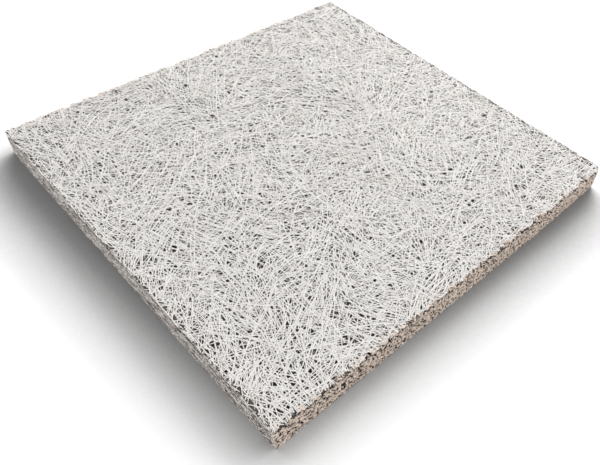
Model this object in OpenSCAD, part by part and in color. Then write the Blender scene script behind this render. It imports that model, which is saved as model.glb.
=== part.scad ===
// Wood wool board: one square slab of long wood strands, bound with cement and pressed flat.
// Origin at the centre of the back face. X runs along the sawn edges and Y along the formed edges.
// The front face is up. Sizes are in millimetres.

/* [Board] */
// Width of the board, along its two sawn edges
board_w = 600; // [500:50:700]
// Length of the board, along its two formed edges
board_l = 600; // [500:50:700]
// Thickness over the highest strands
board_t = 40; // [30:5:50]
// Break of three of the upright corners
corner_break = 3; // [1:0.5:6]
// Break of the front right corner, which has had a knock
knocked_break = 7; // [3:0.5:9]

/* [Strands] */
// Width of a ridge, where a few strands lie side by side
ridge_w = 12; // [8:0.5:14]
// Length of the longest ridge
ridge_len = 210; // [150:10:230]
// Height of the ridges on the front face
front_relief = 3; // [1.5:0.1:3.5]
// Ridges on the front face
front_ridge_count = 150; // [40:2:150]
// Flat bands of strands on the back face
back_band_count = 20; // [8:2:24]
// Ridges along each formed edge
edge_ridge_count = 9; // [3:1:10]

/* [Gaps] */
// Gaps beside the ridges of the front face
front_gap_count = 60; // [20:2:60]
// Gaps in the back face
back_gap_count = 12; // [4:2:12]
// Gaps between the cut strand ends on each sawn edge
sawn_gap_count = 24; // [4:1:24]
// Length of the longest gap in the faces
gap_len = 28; // [18:1:32]
// Width of the widest gap in the faces
gap_w = 7; // [4:0.5:8]
// Depth of the gaps in the faces
gap_depth = 10; // [5:1:12]

/* [Hidden] */

PAINTED = [0.91, 0.89, 0.87];
RAW = [0.74, 0.68, 0.63];

back_relief = 1;
edge_relief = 1.4;
// Sink of every ridge and band into the board, so that it fuses with it
root = 0.5;
// Straight pieces along one ridge or band
steps = 3;
// Least and greatest bend of a ridge from end to end, in degrees
bend_min = 6;
bend_max = 44;
// Least share of the full length, and of the full height
shortest = 0.5;
lowest = 0.5;
// Gaps of the sawn edges
sawn_gap_len = 16;
sawn_gap_w = 6;
sawn_gap_depth = 7;
// Steps of an even spread over a rectangle
STEP_X = 0.7548777;
STEP_Y = 0.5698403;
// The chances that strands and gaps draw on
chances = rands(0, 1, 800, 3);

front_z = board_t - front_relief;
slab_w = board_w - 2 * edge_relief;

function share(x) = x - floor(x);
// Number k drawn by strand or gap i, between two bounds
function draw(i, k, low, high) = low + (high - low) * chances[(5 * i + k) % len(chances)];

// Spot i of an even spread over a w by h rectangle about the origin
function spot(i, w, h, start) =
    [w * (share(start + i * STEP_X) - 0.5), h * (share(start + i * STEP_Y) - 0.5)];

// Heading, length, bend and share of the full height of ridge i. The first one is the highest.
function heading_of(i) = draw(i, 0, 0, 180);
function length_of(i) = ridge_len * draw(i, 1, shortest, 1);
function bend_of(i) = draw(i, 2, bend_min, bend_max) * (i % 2 == 0 ? 1 : -1);
function height_of(i) = i == 0 ? 1 : draw(i, 3, lowest, 0.99);

// Point at share s, from -0.5 to 0.5, along an arc through the origin, set off sideways
function beside(len, bend, s, off) =
    let (heading = bend * s, r = len / (bend * PI / 180))
    [(r - off) * sin(heading), r - (r - off) * cos(heading)];

// A long ridge with two sloping sides on the plane z = 0. Its crest falls from high to low, and both
// of its ends dip under the plane.
module ridge(len, bend, w, high, low) {
    dip = -root / 2;
    crest = [dip, high, low, dip];
    function ring(i) =
        let (s = i / steps - 0.5)
        [concat(beside(len, bend, s, -w / 2), -root),
         concat(beside(len, bend, s, 0), crest[i]),
         concat(beside(len, bend, s, w / 2), -root)];
    corners = [for (i = [0:steps]) each ring(i)];
    sides = [for (i = [0:steps - 1], k = [0:2])
        [3 * i + k, 3 * i + (k + 1) % 3, 3 * i + 3 + (k + 1) % 3, 3 * i + 3 + k]];
    last = 3 * steps;
    ends = [[2, 1, 0], [last, last + 1, last + 2]];
    polyhedron(corners, concat(sides, ends), convexity = 4);
}

// A flat band of strands, seen from above
module band(len, bend, w) {
    one_side = [for (i = [0:steps]) beside(len, bend, i / steps - 0.5, w / 2)];
    other_side = [for (i = [steps:-1:0]) beside(len, bend, i / steps - 0.5, -w / 2)];
    polygon(concat(one_side, other_side));
}

// A gap that narrows as it goes down from the plane z = 0. Over the plane it cuts through what crosses it.
module gap(len, wide, deep) {
    lean = 0.2 * len;
    hull() {
        linear_extrude(front_relief + 1)
            polygon([[-len / 2, 0], [lean, -wide / 2], [len / 2, 0], [-lean, wide / 2]]);
        translate([0, 0, -deep])
            linear_extrude(0.1)
                polygon([[-len / 5, -wide / 8], [len / 5, 0], [-len / 5, wide / 8]]);
    }
}

// The board seen from above at a width and a length, with its broken corners
module outline(w, l) {
    x = w / 2;
    y = l / 2;
    c = corner_break;
    k = knocked_break;
    polygon([[c - x, -y], [x - k, -y], [x, k - y], [x, y - c], [x - c, y], [c - x, y], [-x, y - c], [-x, c - y]]);
}

// The slab without its gaps
module slab() {
    translate([0, 0, back_relief])
        linear_extrude(front_z - back_relief)
            outline(slab_w, board_l);
}

// A gap lies beside each of the first ridges of the front face
module front_gaps() {
    for (i = [0:front_gap_count - 1])
        translate(spot(i, board_w, board_l, 0.37))
            rotate(heading_of(i))
                translate([0, ridge_w * (i % 2 == 0 ? -1 : 1), front_z])
                    gap(gap_len * draw(i, 4, shortest, 1), gap_w, gap_depth);
}

module back_gaps() {
    for (i = [0:back_gap_count - 1])
        translate(concat(spot(i, board_w - gap_len, board_l - gap_len, 0.43), back_relief))
            mirror([0, 0, 1])
                rotate(heading_of(i))
                    gap(gap_len * draw(i, 4, shortest, 1), gap_w, gap_depth);
}

module front_ridges() {
    for (i = [0:front_ridge_count - 1])
        translate(concat(spot(i, board_w, board_l, 0.37), front_z))
            rotate(heading_of(i))
                ridge(length_of(i), bend_of(i), ridge_w, front_relief * height_of(i),
                      front_relief * draw(i, 4, lowest, 0.99));
}

// Ridges that run along both formed edges
module edge_ridges() {
    for (end = [0, 1])
        rotate(180 * end)
            translate([-slab_w / 2, 0, board_t / 2])
                rotate([90, 0, -90])
                    for (i = [0:edge_ridge_count - 1])
                        translate(spot(i, board_l, board_t - 8, 0.61 + 0.3 * end))
                            rotate(draw(i, 4, -3, 3))
                                ridge(length_of(i), bend_of(i) / 12, ridge_w / 2,
                                      edge_relief * height_of(i), edge_relief * lowest);
}

// The flat bands of the back face, cut off at the outline. The first one crosses its centre.
module back_bands() {
    linear_extrude(back_relief + root)
        intersection() {
            outline(board_w - 2 * corner_break, board_l - 2 * corner_break);
            for (i = [0:back_band_count - 1])
                translate(spot(i, board_w, board_l, 0.5))
                    rotate(heading_of(i))
                        band(length_of(i), bend_of(i), ridge_w);
        }
}

// Gaps in a row along both sawn edges, at chance heights. Those at the top or the bottom open its corner.
module sawn_gaps() {
    pitch = board_w / sawn_gap_count;
    for (end = [0, 1], i = [0:sawn_gap_count - 1])
        rotate(180 * end)
            translate([pitch * (i + 0.5) - board_w / 2, -board_l / 2, draw(i, 2 * end, 0, board_t)])
                rotate([90, 0, 0])
                    rotate(draw(i, 4, -40, 40))
                        gap(sawn_gap_len * draw(i, 2 * end + 1, shortest, 1), sawn_gap_w, sawn_gap_depth);
}

// The ridges, cut off at the outline and at the highest level
module ridges() {
    intersection() {
        linear_extrude(board_t)
            outline(board_w, board_l);
        union() {
            color(PAINTED) front_ridges();
            color(RAW) edge_ridges();
        }
    }
}

module panel() {
    difference() {
        union() {
            color(RAW) slab();
            color(RAW) back_bands();
            ridges();
        }
        front_gaps();
        back_gaps();
        sawn_gaps();
    }
}

panel();
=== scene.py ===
# %% [markdown]
# # Wood wool panel
# Wood wool is long, thin, flat strands that are planed off a log. They are wetted, dusted with cement,
# dropped into a mould in all directions and pressed to a board. The whole board is one such slab. Its
# front face is painted off-white. Two of its edges were formed by the mould, and two were sawn.
# Bump on a plain slab could give a hint of that, but the strands are coarse enough to show against the
# light and to cast shade into the gaps between them. So this lesson lays them one by one.

# %% The frame and the tools
import bmesh
import bpy
import math
import numpy as np
import random
from collections import Counter, namedtuple
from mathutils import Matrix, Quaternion, Vector, noise


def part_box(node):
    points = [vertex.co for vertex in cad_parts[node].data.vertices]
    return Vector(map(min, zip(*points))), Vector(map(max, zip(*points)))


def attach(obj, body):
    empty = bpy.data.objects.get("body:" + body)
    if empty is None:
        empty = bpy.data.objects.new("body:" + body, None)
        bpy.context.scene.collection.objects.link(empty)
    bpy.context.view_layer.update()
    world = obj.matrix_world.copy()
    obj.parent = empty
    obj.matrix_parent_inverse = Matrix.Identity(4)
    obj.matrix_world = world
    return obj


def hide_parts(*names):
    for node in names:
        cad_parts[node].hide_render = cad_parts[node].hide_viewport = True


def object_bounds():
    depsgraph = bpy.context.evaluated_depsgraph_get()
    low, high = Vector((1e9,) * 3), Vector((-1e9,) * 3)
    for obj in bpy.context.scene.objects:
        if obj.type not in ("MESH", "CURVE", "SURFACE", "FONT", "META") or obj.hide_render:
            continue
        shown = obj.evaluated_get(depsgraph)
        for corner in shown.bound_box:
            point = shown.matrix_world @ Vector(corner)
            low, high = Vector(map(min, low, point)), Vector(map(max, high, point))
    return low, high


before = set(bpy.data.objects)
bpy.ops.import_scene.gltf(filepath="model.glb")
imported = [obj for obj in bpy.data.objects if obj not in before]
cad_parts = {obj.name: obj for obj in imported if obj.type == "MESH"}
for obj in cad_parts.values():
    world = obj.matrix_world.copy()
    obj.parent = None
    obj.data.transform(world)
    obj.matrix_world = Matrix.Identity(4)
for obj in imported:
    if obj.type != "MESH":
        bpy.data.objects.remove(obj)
CAD_LOW, CAD_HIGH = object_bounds()
BOARD_LOW, BOARD_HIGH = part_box("panel")
MM = 0.001
TOP = BOARD_HIGH.z
print("board from", tuple(BOARD_LOW), "to", tuple(BOARD_HIGH))

# %% [markdown]
# ## The camera
# The photo looks down on the corner between the front and the left edge, a little rolled. The board's
# corners and its outline in the photo give the camera's place, aim, roll and lens. The lens axis lies
# right of the photo's middle, so the sensor is shifted sideways.

# %% Place the camera
PHOTO_WIDTH = 600
FOCAL_PIXELS = 638.8
AXIS_PIXEL_X = 390
CAMERA_PLACE = Vector((-0.4450, -0.5386, 0.6414))
CAMERA_AIM = Vector((-0.0266, -0.1871, 0.0400))
CAMERA_ROLL = math.radians(6.861)

camera_data = bpy.data.cameras.new("camera")
camera_data.sensor_width = 36
camera_data.lens = camera_data.sensor_width * FOCAL_PIXELS / PHOTO_WIDTH
camera_data.shift_x = (PHOTO_WIDTH / 2 - AXIS_PIXEL_X) / PHOTO_WIDTH
camera_data.clip_start = 0.01
camera = bpy.data.objects.new("camera", camera_data)
bpy.context.scene.collection.objects.link(camera)
bpy.context.scene.camera = camera
camera.location = CAMERA_PLACE
camera.rotation_mode = "QUATERNION"
level_view = (CAMERA_AIM - CAMERA_PLACE).to_track_quat("-Z", "Y")
camera.rotation_quaternion = level_view @ Quaternion((0, 0, 1), CAMERA_ROLL)
print("lens", round(camera_data.lens, 2), "mm, shift", round(camera_data.shift_x, 3))

# %% [markdown]
# ## Materials
# Colours are written as sRGB hex, as a paint chart gives them, and turned to linear values here. One
# helper adds a node and sets or links its sockets, so that a material reads from top to bottom.

# %% Colour and node helpers
def linear(hex_colour):
    """The linear RGBA of an sRGB hex colour."""
    channels = [int(hex_colour[i:i + 2], 16) / 255 for i in (1, 3, 5)]
    return [c / 12.92 if c <= 0.04045 else ((c + 0.055) / 1.055) ** 2.4 for c in channels] + [1]


def add_node(tree, kind, settings=None, links=None):
    """A new node with its settings, and its inputs set to a value or linked to a socket."""
    node = tree.nodes.new(kind)
    for name, value in (settings or {}).items():
        setattr(node, name, value)
    for name, value in (links or {}).items():
        if isinstance(value, bpy.types.NodeSocket):
            tree.links.new(value, node.inputs[name])
        else:
            node.inputs[name].default_value = value
    return node


def new_material(name):
    """An empty node material and its tree and output."""
    material = bpy.data.materials.new(name)
    material.use_nodes = True
    tree = material.node_tree
    tree.nodes.clear()
    return material, tree, add_node(tree, "ShaderNodeOutputMaterial")


print("white paint is", [round(c, 2) for c in linear("#FAF5F1")])

# %% [markdown]
# ## Cement-bonded wood wool
# Each strand is spruce or aspen in a thin grey cement crust. The crust makes it matt and grainy, and no
# strand has quite the tone of the next, so each one carries a tone in an attribute. The front was painted
# after pressing: paint covers what lies high and leaves the depth of the gaps bare, so the paint follows the
# height of the point. The bare colour in that depth is drawn far darker than bare cement, as painted shade
# in the gaps. The real cement grains are 0.1 to 0.5 mm wide, which is too fine to show in the render, so
# they are drawn 1.3 mm wide, and 2.2 mm on the mottled formed edges.

# %% Strand materials
TONE = "tone"
CRUST_GRAIN = 1.3 * MM
MOTTLE_GRAIN = 2.2 * MM
CRUST_HEIGHT = 0.05 * MM
# The noise of the grain is darkest at the first value, and leaves the colour alone from the second on
SPECK_DARK, SPECK_CLEAR = 0.38, 0.5
# The colour sockets of a Mix node share their names with its other sockets, so they go by number
SHARE, FIRST, SECOND, MIXED = 0, 6, 7, 2
COLOUR_MIX = {"data_type": "RGBA"}
COLOUR_MULTIPLY = {"data_type": "RGBA", "blend_type": "MULTIPLY"}


def strand_material(name, dark, light, speck_shade, paint=None, grain_width=CRUST_GRAIN):
    """Wood wool in its crust. Paint is its lowest height, full height, dark and light colour."""
    material, tree, output = new_material(name)
    tone = add_node(tree, "ShaderNodeAttribute", {"attribute_name": TONE})
    colour = add_node(tree, "ShaderNodeMix", COLOUR_MIX,
                      {SHARE: tone.outputs["Fac"], FIRST: linear(dark), SECOND: linear(light)})
    place = add_node(tree, "ShaderNodeTexCoord")
    if paint:
        bare, covered, paint_dark, paint_light = paint
        height = add_node(tree, "ShaderNodeSeparateXYZ", None, {"Vector": place.outputs["Object"]})
        share = add_node(tree, "ShaderNodeMapRange", {"interpolation_type": "SMOOTHSTEP"},
                         {"Value": height.outputs["Z"], "From Min": bare, "From Max": covered})
        coat = add_node(tree, "ShaderNodeMix", COLOUR_MIX,
                        {SHARE: tone.outputs["Fac"], FIRST: linear(paint_dark),
                         SECOND: linear(paint_light)})
        colour = add_node(tree, "ShaderNodeMix", COLOUR_MIX,
                          {SHARE: share.outputs["Result"], FIRST: colour.outputs[MIXED],
                           SECOND: coat.outputs[MIXED]})
    grain = add_node(tree, "ShaderNodeTexNoise", None,
                     {"Vector": place.outputs["Object"], "Scale": 1 / grain_width, "Detail": 2.0})
    speck = add_node(tree, "ShaderNodeMapRange", None,
                     {"Value": grain.outputs["Fac"], "From Min": SPECK_DARK, "From Max": SPECK_CLEAR,
                      "To Min": speck_shade})
    crusted = add_node(tree, "ShaderNodeMix", COLOUR_MULTIPLY,
                       {SHARE: 1, FIRST: colour.outputs[MIXED], SECOND: speck.outputs["Result"]})
    bump = add_node(tree, "ShaderNodeBump", None,
                    {"Height": grain.outputs["Fac"], "Distance": CRUST_HEIGHT})
    shader = add_node(tree, "ShaderNodeBsdfPrincipled", None,
                      {"Base Color": crusted.outputs[MIXED], "Roughness": 0.9, "Specular IOR Level": 0.3,
                       "Normal": bump.outputs["Normal"]})
    tree.links.new(shader.outputs["BSDF"], output.inputs["Surface"])
    return material


# Sprayed emulsion paint over strands: warm white on the heights, and bare cement in the depth, drawn dark
# grey-brown as painted shade in the gaps
PAINTED = strand_material("painted_wood_wool", "#3E3731", "#5C534C", 0.94,
                          (TOP - 3.0 * MM, TOP - 2.1 * MM, "#FAF5F1", "#FFFEFC"))
# Bare pressed strands of the back: the grey-beige of cement over wood
RAW = strand_material("raw_wood_wool", "#A3988E", "#D2C7BC", 0.65)
# Strands that were pressed flat on the mould wall: pale grey-pink and mottled, with a little overspray
FORMED = strand_material("formed_wood_wool", "#98877C", "#FFFAF5", 0.42,
                         (TOP - 2.4 * MM, TOP - 1.0 * MM, "#E4DFDA", "#F6F2EE"), MOTTLE_GRAIN)
# Strand ends from the saw: fresh cream wood and a few dark ends, and the near-black brown also serves as
# painted shade in the pores between the ends
SAWN = strand_material("sawn_wood_wool", "#22120B", "#FFEFE1", 0.88)
# The dense inside: dull grey-brown, drawn darker than bare strands as painted shade, seen at the bottom of
# the gaps and behind the formed edges
SHADED_CORE = strand_material("pressed_core_painted_shade", "#544C45", "#6A615A", 0.8)
print(len(bpy.data.materials), "materials")

# %% [markdown]
# ## A strand
# A real strand is 1.5 to 3 mm wide and 0.2 to 0.4 mm thick, and it can be 500 mm long. Here each one is
# a poly curve that carries a small closed section, because a curve keeps its section square to its way
# and has a tilt and a width at each point. The section has a flat top and a ridge below, where it isn't
# seen. Three corners are enough, so that thousands of strands stay light.

# %% Strand section
STRAND_WIDTH = 1.4 * MM
STRAND_THICKNESS = 0.4 * MM


def section_curve(name, width, thickness):
    """A closed section with a flat top and a ridge below."""
    data = bpy.data.curves.new(name, "CURVE")
    data.dimensions = "2D"
    spline = data.splines.new("POLY")
    corners = [(-width / 2, thickness), (width / 2, thickness), (0, 0)]
    spline.points.add(len(corners) - 1)
    for point, (x, y) in zip(spline.points, corners):
        point.co = (x, y, 0, 1)
    spline.use_cyclic_u = True
    return bpy.data.objects.new(name, data)


STRAND_SECTION = section_curve("strand_section", STRAND_WIDTH, STRAND_THICKNESS)
print("section with", len(STRAND_SECTION.data.splines[0].points), "corners")

# %% [markdown]
# ## How strands fall
# Strands come off the plane in locks, so a few lie side by side and bend alike. Most strands that meet
# the mould wall end there, and a few turn and run on along it. A small share curls up. These ways are
# drawn by chance from a seeded dice, so that each run lays the same board.

# %% A strand's way over the board
WEAR_DEPTH, WEAR_LENGTH = 4 * MM, 8 * MM
# Share of the strands that end where they meet a mould wall
ENDS_AT_WALL = 0.88
# Share of the locks that are nearly straight
STRAIGHT_LOCKS = 0.94


def worn(side, y):
    """How far the arris of a formed edge is worn back at a place along it."""
    return WEAR_DEPTH * max(noise.noise(Vector((y / WEAR_LENGTH, side, 5))), 0)


def walk(dice, x, y, heading, length, bend, step):
    """Points (x, y) of a strand that bends evenly, wanders a little, and ends or turns at a mould wall."""
    inset = dice.uniform(0.1, 1.5) * MM
    points = [(x, y)]
    left = max(2, round(length / step))
    while left > 0:
        left -= 1
        heading += bend * step / length + dice.gauss(0, 0.05)
        ahead = x + step * math.cos(heading)
        wall = BOARD_HIGH.x - inset - worn(math.copysign(1, ahead), y)
        beyond = abs(ahead) - wall
        if beyond > 0 and dice.random() < ENDS_AT_WALL:
            share = max(1 - beyond / (step * abs(math.cos(heading))), 0)
            points.append((x + share * step * math.cos(heading), y + share * step * math.sin(heading)))
            break
        if beyond > 0:
            heading = math.copysign(math.pi / 2, math.sin(heading))
            bend = 0
            left = min(left, dice.choice((0, 0, 0, 0, 1, 2)))
        x = min(max(x + step * math.cos(heading), -wall), wall)
        y += step * math.sin(heading)
        points.append((x, y))
    return points


def lock(dice, size, length, step):
    """Strands that came off the plane together and lie side by side."""
    half_x, half_y = BOARD_HIGH.x, BOARD_HIGH.y + 0.3 * length
    x, y = dice.uniform(-half_x, half_x), dice.uniform(-half_y, half_y)
    heading = dice.uniform(0, 2 * math.pi)
    straight = dice.random() < STRAIGHT_LOCKS
    bend = dice.gauss(0, 0.5) if straight else dice.choice((-1, 1)) * dice.uniform(2.5, 5)
    ways = []
    for k in range(size):
        side = (k - (size - 1) / 2) * dice.uniform(2.0, 3.2) * MM
        along = dice.gauss(0, 0.15) * length
        way_x = x - side * math.sin(heading) + along * math.cos(heading)
        way_y = y + side * math.cos(heading) + along * math.sin(heading)
        way_x = min(max(way_x, -half_x), half_x)
        ways.append(walk(dice, way_x, way_y, heading + dice.gauss(0, 0.08), length * dice.uniform(0.6, 1.2),
                         bend + dice.gauss(0, 0.1), step))
    return ways


# %% [markdown]
# ## The saw's edge
# The saw cuts the strands off at two edges, and the arris there crumbles: short ends break out of the
# white face and show the brown inside. Noise along the edge says how much has gone. The corner between
# the front and the right edge has had a knock, which took its lower arris too.

# %% Cut strands at the saw
CRUMB_LENGTH, CRUMB_DETAIL = 22 * MM, 5 * MM
# A crumbled arris reaches this deep into the board and this far down, and fades in over the last length
CRUMBLE_DEPTH, CRUMBLE_REACH, CRUMBLE_FADE = 8 * MM, 6 * MM, 5 * MM
KNOCK_DEPTH, KNOCK_HEIGHT = 3 * MM, 20 * MM
# Size of the pores between the cut ends, along the edge and up it, and of the fray of their rims
PORE_LENGTH, PORE_HEIGHT, FRAY = 3.5 * MM, 3.1 * MM, 1.6 * MM
# Strands run on past the cut by this much, and are pressed back flush with it later
OVERRUN = 0.3 * MM
NEAR = 2 * MM


def crumble(x, y):
    """How much of the arris is broken away at a place along a sawn edge, from 0 to 1."""
    side = math.copysign(5, y)
    coarse = noise.noise(Vector((x / CRUMB_LENGTH, side, 0)))
    fine = noise.noise(Vector((x / CRUMB_DETAIL, side, 9)))
    return min(max(0.28 + 0.7 * coarse + 1.0 * fine, 0), 1)


def knock(x, y, z):
    """How far the lower arris of the front edge has gone, more and more towards the knocked corner."""
    along = min(max(x / BOARD_HIGH.x * 2 - 1, 0), 1)
    return KNOCK_DEPTH * along * max(1 - z / KNOCK_HEIGHT, 0) if y < 0 else 0


def bite(x, y, z):
    """How deep a sawn edge has broken out at a place, at its upper arris and at the knocked corner."""
    upper = CRUMBLE_DEPTH * crumble(x, y) * min(max((z - TOP + CRUMBLE_REACH) / CRUMBLE_FADE, 0), 1)
    return max(upper, knock(x, y, z))


def cut_level(x, y, z):
    """Noise over a sawn edge, below zero where the cut opens a pore."""
    side = math.copysign(5, y)
    coarse = noise.noise(Vector((x / PORE_LENGTH, side, z / PORE_HEIGHT)))
    return coarse + 0.4 * noise.noise(Vector((x / FRAY, side + 3, z / FRAY)))


def sawn(points, broken):
    """The first stretch of a strand between the two saw cuts, less what has broken off the arris."""
    margins = [BOARD_HIGH.y + OVERRUN - abs(point.y) - broken * crumble(point.x, point.y)
               - knock(*point.xyz) for point in points]
    kept = []
    for here, there, margin, next_margin in zip(points, points[1:], margins, margins[1:]):
        if margin > 0 and not kept:
            kept.append(here)
        if (margin > 0) != (next_margin > 0):
            kept.append(here.lerp(there, margin / (margin - next_margin)))
        if next_margin > 0:
            kept.append(there)
        elif kept:
            break
    return kept


def apart(path):
    """A path without points that nearly coincide, which the curve would merge."""
    kept = path[:1]
    for point in path[1:]:
        if (point - kept[-1]).xy.length > NEAR:
            kept.append(point)
    return kept


def long_ones(paths):
    """The paths that are long enough to be seen."""
    return [path for path in map(apart, paths) if len(path) > 1]


# %% [markdown]
# ## Even cover
# Chance alone leaves bald patches and heaps. The press evens out a real mat, and here each lock is
# tried at a few places and stays where the fewest strands pass.

# %% Spread locks over the board
CELL = 4 * MM


def cells(ways):
    """The cells of the board that some strands pass, once for about each cell's width of way."""
    passed = []
    for way in ways:
        for (x, y), (next_x, next_y) in zip(way, way[1:]):
            count = max(1, round(math.hypot(next_x - x, next_y - y) / CELL))
            passed += [((x + (next_x - x) * i / count) // CELL, (y + (next_y - y) * i / count) // CELL)
                       for i in range(count)]
    return passed


def spread(dice, metres, lengths, step, cover, tries):
    """Locks of strands, each dropped where the cover is thinnest out of a few tries."""
    ways = []
    laid = 0
    while laid < metres:
        size = dice.choice((1, 1, 2, 2, 3, 4, 6))
        length = dice.uniform(*lengths)
        drops = [lock(dice, size, length, step) for _ in range(tries)]
        passed = [cells(drop) for drop in drops]
        crowds = [sum(cover[cell] for cell in row) / len(row) for row in passed]
        best = crowds.index(min(crowds))
        cover.update(passed[best])
        ways += drops[best]
        laid += sum(step * (len(way) - 1) for way in drops[best])
    return ways


# %% [markdown]
# ## Over and under
# In the mat a strand dips under one neighbour and rises over the next, and its ends tuck in. A long
# wave and a little chance at each point do that. The press stops all of them at the top plane. The
# flat of each strand leans a little, so that some catch more light.

# %% Levels and tilts
# How far the end of a strand tucks in
TUCK = 1.2 * MM


def weave(dice, way, step, high, low, wave):
    """A strand's points as (x, y, z, tilt)."""
    level = dice.uniform(low, high)
    waves = dice.uniform(25, 70) * MM
    phase = dice.uniform(0, 2 * math.pi)
    ceiling = TOP - STRAND_THICKNESS - dice.uniform(0.05, 0.5) * MM
    tilt = dice.gauss(0, 0.15)
    points = []
    for i, (x, y) in enumerate(way):
        tuck = TUCK if i in (0, len(way) - 1) else 0
        z = level + wave * math.sin(phase + i * step / waves * 2 * math.pi) + dice.gauss(0, 0.25) * MM - tuck
        tilt += dice.gauss(0, 0.08)
        points.append(Vector((x, y, min(z, ceiling), tilt)))
    return points


# %% [markdown]
# ## From curves to meshes
# All strands of a layer become one mesh. Blender sets the end caps of a curve before its sides, the
# last strand first, so the tones are listed in that order. Points that stand out of the board's box or
# its rounded corners are pressed back, as the mould would do.

# %% Lay strands
# The source breaks three corners by 3 mm and the knocked one by 7 mm. These arcs lie inside those
# breaks, and the back left corner is worn a little rounder.
CORNER_RADII = {(-1, -1): 5.2 * MM, (1, -1): 12 * MM, (1, 1): 5.2 * MM, (-1, 1): 9 * MM}
SAME_PLACE = 0.001 * MM


def press_into_board(mesh):
    """Press all points into the board's box and its rounded upright corners."""
    places = np.empty(len(mesh.vertices) * 3)
    mesh.vertices.foreach_get("co", places)
    places = np.clip(places.reshape(-1, 3), CAD_LOW, CAD_HIGH)
    for corner, radius in CORNER_RADII.items():
        centre = np.array(corner) * (BOARD_HIGH.x - radius, BOARD_HIGH.y - radius)
        away = places[:, :2] - centre
        far = np.hypot(away[:, 0], away[:, 1])
        out = (away * corner > 0).all(axis=1) & (far > radius)
        places[out, :2] = centre + away[out] * (radius / far[out])[:, None]
    mesh.vertices.foreach_set("co", places.ravel())


def new_piece(name, mesh, tones, material):
    """A part of the panel's look, which stands for the CAD panel and rides with it."""
    mesh.attributes.new(TONE, "FLOAT", "POINT").data.foreach_set("value", tones)
    press_into_board(mesh)
    welded = bmesh.new()
    welded.from_mesh(mesh)
    bmesh.ops.remove_doubles(welded, verts=welded.verts, dist=SAME_PLACE)
    bmesh.ops.dissolve_degenerate(welded, edges=welded.edges, dist=SAME_PLACE)
    bmesh.ops.recalc_face_normals(welded, faces=welded.faces)
    for face in welded.faces:
        face.smooth = False
    welded.to_mesh(mesh)
    welded.free()
    mesh.materials.clear()
    mesh.materials.append(material)
    piece = bpy.data.objects.new(name, mesh)
    bpy.context.scene.collection.objects.link(piece)
    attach(piece, "root")
    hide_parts("panel")
    print(name, sum(len(face.vertices) - 2 for face in mesh.polygons), "triangles")
    return piece


def lay_strands(name, paths, widths, tones, material):
    """All paths as one mesh of flat strands, with a width and a tone for each strand."""
    data = bpy.data.curves.new(name, "CURVE")
    data.dimensions = "3D"
    data.twist_mode = "Z_UP"
    data.bevel_mode = "OBJECT"
    data.bevel_object = STRAND_SECTION
    data.use_fill_caps = True
    for path, width in zip(paths, widths):
        spline = data.splines.new("POLY")
        spline.points.add(len(path) - 1)
        spline.points.foreach_set("co", [c for point in path for c in (point.x, point.y, point.z, 1)])
        spline.points.foreach_set("tilt", [point.w for point in path])
        spline.points.foreach_set("radius", [width] * len(path))
    curve = bpy.data.objects.new(name + "_curve", data)
    bpy.context.scene.collection.objects.link(curve)
    bpy.context.view_layer.update()
    mesh = bpy.data.meshes.new_from_object(curve.evaluated_get(bpy.context.evaluated_depsgraph_get()))
    bpy.data.objects.remove(curve)
    mesh.name = name
    corners = len(STRAND_SECTION.data.splines[0].points)
    caps = [tone for tone in reversed(tones) for _ in range(2 * corners)]
    sides = [tone for path, tone in zip(paths, tones) for _ in range(len(path) * corners)]
    return new_piece(name, mesh, caps + sides, material)


# %% [markdown]
# ## The front face
# Four layers build the face. The top ones are many narrow strands that the paint has reached, and the deep
# ones are broader and bare, drawn dark as painted shade. The arris of the sawn edges breaks back furthest in
# the top layer.
# Real strands are 1.5 to 3 mm wide, but half of that often hides under a neighbour, so the top ones
# are laid narrower.

# %% Front strands
# Metres of strand, then millimetres: strand lengths, step, highest and lowest level under the top, and
# wave. Then the width as a share of the section, and the millimetres that may break off at the saw.
WIDTH_SPREAD = (0.75, 1.25)
Layer = namedtuple("Layer", "name metres shortest longest step high low wave broad broken")
FRONT_LAYERS = (
    Layer("front_strands_top", 340, 30, 130, 12, 0.4, 1.4, 0.8, 0.66, 9),
    Layer("front_strands_upper", 310, 30, 110, 12, 0.9, 2.1, 0.8, 0.70, 8),
    Layer("front_strands_lower", 210, 40, 120, 13, 2.8, 4.2, 0.8, 1.10, 6),
    Layer("front_strands_deep", 170, 50, 140, 14, 4.2, 5.8, 0.5, 1.50, 4),
)


def layer_paths(dice, layer, cover, tries=7):
    """The strands of a layer as points (x, y, z, tilt)."""
    step = layer.step * MM
    ways = spread(dice, layer.metres, (layer.shortest * MM, layer.longest * MM), step, cover, tries)
    high, low = TOP - layer.high * MM, TOP - layer.low * MM
    woven = [weave(dice, way, step, high, low, layer.wave * MM) for way in ways]
    return long_ones([sawn(points, layer.broken * MM) for points in woven])


dice = random.Random(7)
cover = Counter()
for layer in FRONT_LAYERS:
    paths = layer_paths(dice, layer, cover)
    widths = [layer.broad * dice.uniform(*WIDTH_SPREAD) for _ in paths]
    tones = [dice.random() for _ in paths]
    lay_strands(layer.name, paths, widths, tones, PAINTED)

# %% [markdown]
# ## The back
# The back was pressed on the plate of the mould, so its strands lie flatter and closer than on the
# front, and they are bare. The same layers are laid near the lower plane and turned over, so that the
# flat of each strand looks down.

# %% Back strands
BACK_LAYERS = (
    Layer("back_strands_low", 190, 60, 180, 14, 39.0, 39.9, 0.2, 1.4, 2),
    Layer("back_strands_mid", 150, 60, 180, 14, 38.0, 39.2, 0.4, 1.5, 2),
    Layer("back_strands_high", 110, 60, 180, 14, 37.0, 38.2, 0.4, 1.9, 2),
)
dice = random.Random(11)
cover = Counter()
for layer in BACK_LAYERS:
    paths = layer_paths(dice, layer, cover)
    for path in paths:
        for point in path:
            point.z = max(point.z, STRAND_THICKNESS)
            point.w += math.pi
    widths = [layer.broad * dice.uniform(*WIDTH_SPREAD) for _ in paths]
    tones = [dice.random() for _ in paths]
    lay_strands(layer.name, paths, widths, tones, RAW)

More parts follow.
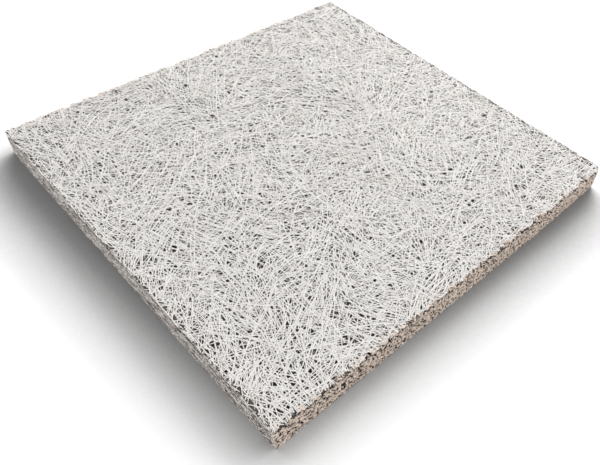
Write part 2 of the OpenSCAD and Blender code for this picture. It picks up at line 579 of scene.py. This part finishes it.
# %% [markdown]
# ## The formed edges
# The mould wall pressed the strands flat against it, so they stand on edge and run along the board,
# some of them askew. They are short here, because the real edge is broken and speckled, and noise
# sets small hollows in it.

# %% Formed edge strands
EDGE_STRANDS = 1700
EDGE_STEP = 7 * MM
EDGE_BROKEN = 2 * MM
EDGE_LOW, EDGE_HIGH = 0.5 * MM, TOP - 2 * MM
HOLLOW_DEPTH, HOLLOW_LENGTH, HOLLOW_HEIGHT = 2.5 * MM, 7 * MM, 5 * MM


def edge_way(dice, side, step):
    """A strand that was pressed flat against a mould wall, as points (x, y, z, tilt)."""
    length = dice.uniform(14, 36) * MM
    y = dice.uniform(BOARD_LOW.y - length / 2, BOARD_HIGH.y)
    z = dice.uniform(EDGE_LOW, EDGE_HIGH)
    slope = dice.gauss(0, 0.35)
    depth = dice.uniform(0.1, 1.0) * MM
    points = []
    for i in range(max(2, round(length / step))):
        tuck = TUCK if i == 0 else dice.uniform(0, 0.3) * MM
        height = min(max(z, EDGE_LOW), EDGE_HIGH - 0.8 * worn(side, y))
        hollow = HOLLOW_DEPTH * max(
            noise.noise(Vector((y / HOLLOW_LENGTH, height / HOLLOW_HEIGHT, side))), 0)
        points.append(Vector((side * (BOARD_HIGH.x - depth - tuck - hollow), y, height,
                              side * math.pi / 2 + dice.gauss(0, 0.2))))
        slope += dice.gauss(0, 0.12)
        y += step
        z += step * slope
    return points


dice = random.Random(13)
for side, name in ((-1, "formed_edge_left"), (1, "formed_edge_right")):
    paths = long_ones([sawn(edge_way(dice, side, EDGE_STEP), EDGE_BROKEN) for _ in range(EDGE_STRANDS)])
    widths = [dice.uniform(0.6, 1.1) for _ in paths]
    tones = [dice.uniform(0.75, 1) if dice.random() < 0.8 else dice.uniform(0, 0.3) for _ in paths]
    lay_strands(name, paths, widths, tones, FORMED)

# %% [markdown]
# ## The sawn edges
# A sawn edge shows thousands of cut ends, cream where the saw passed through wood, and dark in the pores
# between them, where the dark is painted shade. Each end is a short stub that leans out of the board. Most
# end at the cut, and some broke off deeper. Few stand in a pore. Most of the ends are light, and the dark
# comes from painted shade in the pores of the wall behind them.

# %% Sawn strand ends
CUT_ENDS = 4200
STUB_LENGTH = 6 * MM
# Below this level of the cut's noise, nearly all ends have broken out
PORE_RIM, BROKEN_OUT = 0.16, 0.95

dice = random.Random(17)
for side, name in ((-1, "sawn_edge_front"), (1, "sawn_edge_back")):
    paths = []
    while len(paths) < CUT_ENDS:
        lean = dice.uniform(-1.1, 1.1)
        recess = dice.uniform(0, 0.3) * MM if dice.random() < 0.7 else dice.uniform(0.3, 2.0) * MM
        x = dice.uniform(BOARD_LOW.x, BOARD_HIGH.x)
        z = dice.uniform(0.2 * MM, TOP - 1.3 * MM)
        if cut_level(x, side, z) < PORE_RIM and dice.random() < BROKEN_OUT:
            continue
        recess += bite(x, side, z)
        end = Vector((x, side * (BOARD_HIGH.y - recess), z, dice.gauss(0, 0.7)))
        root = end - STUB_LENGTH * Vector((math.sin(lean), side * math.cos(lean), dice.gauss(0, 0.2), 0))
        paths.append([root, end])
    widths = [dice.uniform(0.9, 1.8) for _ in paths]
    tones = [dice.uniform(0.8, 1) if dice.random() < 0.85 else dice.uniform(0.1, 0.4) for _ in paths]
    lay_strands(name, paths, widths, tones, SAWN)

# %% [markdown]
# ## Behind the strands
# Between the strands the eye meets the dense inside of the mat. A rough wall stands a little behind each
# edge and a rough bed under each face, so no gap is a hole. The walls behind the formed edges and the beds
# are coloured dark as painted shade, and the relief of all of them drives the tone, so that what lies deep
# is painted darker, as shade.

# %% Walls and beds
# Below this level the saw's cut opens a pore, which deepens and is painted darker, as shade, by so much per
# level
PORE_LEVEL, PORE_DEPTH, PORE_PAINTED_SHADE = 0.12, 7 * MM, 16
BACK_TONE = 0.1


def rolling_shaded(grain, depth, dark, light):
    """A relief that rises and falls evenly, as a function from a place to its height and a tone painted
    darker where it lies low, as shade.
    """
    def shaded_relief(place):
        level = noise.noise(place / grain)
        return depth * level, dark + (light - dark) * min(max(0.5 + 1.2 * level, 0), 1)
    return shaded_relief


def cut_flush(place):
    """Height and tone of wood that the saw cut flush, with pores where the noise is low, painted dark as
    shade.
    """
    level = cut_level(place.x, place.y, place.z)
    pore = max(PORE_LEVEL - level, 0)
    return -PORE_DEPTH * pore, min(max(0.95 + 0.2 * level - PORE_PAINTED_SHADE * pore, 0), 1)


def rough_slab(name, centre, across, up, out, counts, shaded_relief, material, thickness=4 * MM):
    """A closed slab whose outer face has a relief, and a tone that follows it, dark where it lies deep as
    painted shade.
    """
    work = bmesh.new()
    bmesh.ops.create_grid(work, x_segments=counts[0], y_segments=counts[1], size=0.5)
    tones = []
    for vertex in work.verts:
        place = centre + vertex.co.x * across + vertex.co.y * up
        height, tone = shaded_relief(place)
        tones.append(tone)
        vertex.co = place + out * height
        if out.y:
            vertex.co -= out * bite(vertex.co.x, out.y, vertex.co.z)
    rim = [edge for edge in work.edges if edge.is_boundary]
    drawn = bmesh.ops.extrude_edge_only(work, edges=rim)["geom"]
    for item in drawn:
        if isinstance(item, bmesh.types.BMVert):
            item.co += out * ((centre - item.co).dot(out) - thickness)
    open_rim = [item for item in drawn if isinstance(item, bmesh.types.BMEdge) and item.is_boundary]
    bmesh.ops.contextual_create(work, geom=open_rim)
    mesh = bpy.data.meshes.new(name)
    work.to_mesh(mesh)
    work.free()
    tones += [BACK_TONE] * (len(mesh.vertices) - len(tones))
    return new_piece(name, mesh, tones, material)


X, Y, Z = Vector((1, 0, 0)), Vector((0, 1, 0)), Vector((0, 0, 1))
WIDTH, LENGTH = 2 * BOARD_HIGH.x, 2 * BOARD_HIGH.y
MIDDLE = Z * TOP / 2
SAWN_WALL_DEPTH, SAWN_WALL_DROP, SAWN_WALL_THICKNESS = 0.5 * MM, 2 * MM, 13 * MM
SAWN_WALL_GRID = (600, 36)
FORMED_WALL_DEPTH = 2 * MM
FORMED_WALL_GRID = (150, 24)
# The relief of the walls behind the formed edges also sets their tone, darker where lower, as painted shade
FORMED_WALL_SHADED_RELIEF = rolling_shaded(5 * MM, 0.8 * MM, 0, 1)
BED_UNDER_FRONT, BED_OVER_BACK = TOP - 7 * MM, 3 * MM
BED_ACROSS, BED_UP = X * (WIDTH - 8 * MM), Y * (LENGTH - 8 * MM)
BED_GRID = (70, 70)
# The beds' relief sets their tone too, darker where lower, as painted shade
BED_SHADED_RELIEF = rolling_shaded(20 * MM, 0.6 * MM, 0, 1)

for side, end in ((-1, "front"), (1, "back")):
    centre = MIDDLE + side * Y * (LENGTH / 2 - SAWN_WALL_DEPTH) - Z * SAWN_WALL_DROP
    rough_slab("sawn_wall_" + end, centre, X * (WIDTH - 4 * MM), Z * (TOP - 5 * MM), side * Y,
               SAWN_WALL_GRID, cut_flush, SAWN, SAWN_WALL_THICKNESS)
for side, end in ((-1, "left"), (1, "right")):
    centre = MIDDLE + side * X * (WIDTH / 2 - FORMED_WALL_DEPTH)
    rough_slab("formed_wall_" + end, centre, Y * (LENGTH - 6 * MM), Z * (TOP - 3 * MM), side * X,
               FORMED_WALL_GRID, FORMED_WALL_SHADED_RELIEF, SHADED_CORE)
rough_slab("bed_under_front", Z * BED_UNDER_FRONT, BED_ACROSS, BED_UP, Z, BED_GRID, BED_SHADED_RELIEF, SHADED_CORE)
rough_slab("bed_over_back", Z * BED_OVER_BACK, BED_ACROSS, BED_UP, -Z, BED_GRID, BED_SHADED_RELIEF, SHADED_CORE)

# %% [markdown]
# ## The floor
# The floor is plain white. The soft shade along the board's two near sides is ambient occlusion, which
# is measured towards the back right, where the light comes from. It is raised to a power that grows
# away from the camera, because the photo's shade is light at the near corner and dark at the two side
# corners. It levels off above a darkest value, so that the line where the board rests doesn't go
# black. Only the camera sees this shade and the floor's glow. For the light that bounces back on the
# board, the floor stays white.

# %% White floor
FLOOR_HALF = 6
FLOOR_WHITE = [0.95, 0.95, 0.95, 1]
FLOOR_GLOW = 0.4
SHADE_REACH = 0.117
SHADE_POWER = 3.5
SHADE_POWER_PER_METRE = 3.4
SHADE_DARKEST = 0.15
# How softly the shade levels off towards its darkest
SHADE_BLEND = 0.1
SHADE_LEAN = math.radians(75)
SHADE_AZIMUTH = math.radians(33)

floor_tool = bmesh.new()
bmesh.ops.create_grid(floor_tool, x_segments=1, y_segments=1, size=FLOOR_HALF)
floor_mesh = bpy.data.meshes.new("floor")
floor_tool.to_mesh(floor_mesh)
floor_tool.free()
floor = bpy.data.objects.new("floor", floor_mesh)
bpy.context.scene.collection.objects.link(floor)
material, tree, output = new_material("white_floor")
seen = add_node(tree, "ShaderNodeLightPath")
lean = add_node(tree, "ShaderNodeCombineXYZ", None,
                {"X": math.sin(SHADE_LEAN) * math.cos(SHADE_AZIMUTH),
                 "Y": math.sin(SHADE_LEAN) * math.sin(SHADE_AZIMUTH), "Z": math.cos(SHADE_LEAN)})
nearby = add_node(tree, "ShaderNodeAmbientOcclusion", {"samples": 16},
                  {"Distance": SHADE_REACH, "Normal": lean.outputs["Vector"]})
spot = add_node(tree, "ShaderNodeTexCoord")
away = add_node(tree, "ShaderNodeVectorMath", {"operation": "DOT_PRODUCT"},
                {0: spot.outputs["Object"], 1: (SHADE_POWER_PER_METRE, SHADE_POWER_PER_METRE, 0)})
power = add_node(tree, "ShaderNodeMath", None, {0: away.outputs["Value"], 1: SHADE_POWER})
deep = add_node(tree, "ShaderNodeMath", {"operation": "POWER"},
                {0: nearby.outputs["AO"], 1: power.outputs["Value"]})
shade = add_node(tree, "ShaderNodeMath", {"operation": "SMOOTH_MAX"},
                 {0: deep.outputs["Value"], 1: SHADE_DARKEST, 2: SHADE_BLEND})
shaded = add_node(tree, "ShaderNodeMix", COLOUR_MULTIPLY,
                  {SHARE: seen.outputs["Is Camera Ray"], FIRST: FLOOR_WHITE, SECOND: shade.outputs["Value"]})
glow = add_node(tree, "ShaderNodeMath", {"operation": "MULTIPLY"},
                {0: shade.outputs["Value"], 1: seen.outputs["Is Camera Ray"]})
strength = add_node(tree, "ShaderNodeMath", {"operation": "MULTIPLY"},
                    {0: glow.outputs["Value"], 1: FLOOR_GLOW})
matt = add_node(tree, "ShaderNodeBsdfDiffuse", None, {"Color": shaded.outputs[MIXED]})
shine = add_node(tree, "ShaderNodeEmission", None, {"Strength": strength.outputs["Value"]})
both = add_node(tree, "ShaderNodeAddShader", None, {0: matt.outputs["BSDF"], 1: shine.outputs["Emission"]})
tree.links.new(both.outputs["Shader"], output.inputs["Surface"])
floor_mesh.materials.append(material)
print("floor", floor.dimensions.x, "m wide")

# %% [markdown]
# ## The light
# A large round softbox hangs beyond the right edge of the board, a little towards its far corner, and
# white studio walls fill in from all sides. Together they light a level surface 5% more than a world
# of strength 1 does, so a colour renders about as it is written. The far corner gets a little more.

# %% Softbox and studio walls
# Light on a level surface from both, and from the studio walls alone
LEVEL = 1.05
FILL = 0.775
BOX_AZIMUTH = math.radians(14)
BOX_ELEVATION = math.radians(44)
BOX_DISTANCE = 1.7
BOX_SIZE = 0.63

world = bpy.data.worlds.new("studio")
bpy.context.scene.world = world
world.use_nodes = True
studio = world.node_tree
background = studio.nodes["Background"]
background.inputs["Color"].default_value = (1, 1, 1, 1)
looking = add_node(studio, "ShaderNodeLightPath")
walls = add_node(studio, "ShaderNodeMapRange", None,
                 {"Value": looking.outputs["Is Camera Ray"], "To Min": FILL})
studio.links.new(walls.outputs["Result"], background.inputs["Strength"])
box_data = bpy.data.lights.new("softbox", "AREA")
box_data.shape = "DISK"
box_data.size = BOX_SIZE
reach = BOX_DISTANCE ** 2 + BOX_SIZE ** 2 / 4
box_data.energy = (LEVEL - FILL) * math.pi ** 2 * reach / math.sin(BOX_ELEVATION)
softbox = bpy.data.objects.new("softbox", box_data)
bpy.context.scene.collection.objects.link(softbox)
softbox.location = BOX_DISTANCE * Vector((math.cos(BOX_ELEVATION) * math.cos(BOX_AZIMUTH),
                                          math.cos(BOX_ELEVATION) * math.sin(BOX_AZIMUTH),
                                          math.sin(BOX_ELEVATION)))
softbox.rotation_mode = "QUATERNION"
softbox.rotation_quaternion = softbox.location.to_track_quat("Z", "Y")
softbox.visible_camera = False
bpy.context.scene.view_settings.view_transform = "Standard"
print("softbox of", round(box_data.energy, 1), "W")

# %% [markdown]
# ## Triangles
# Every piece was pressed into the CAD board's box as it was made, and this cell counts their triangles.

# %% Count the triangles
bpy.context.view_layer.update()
meshes = [piece.data for piece in bpy.context.scene.objects if piece.type == "MESH"]
looks = [mesh for mesh in meshes if TONE in mesh.attributes]
print(sum(len(face.vertices) - 2 for mesh in looks for face in mesh.polygons), "triangles in all")
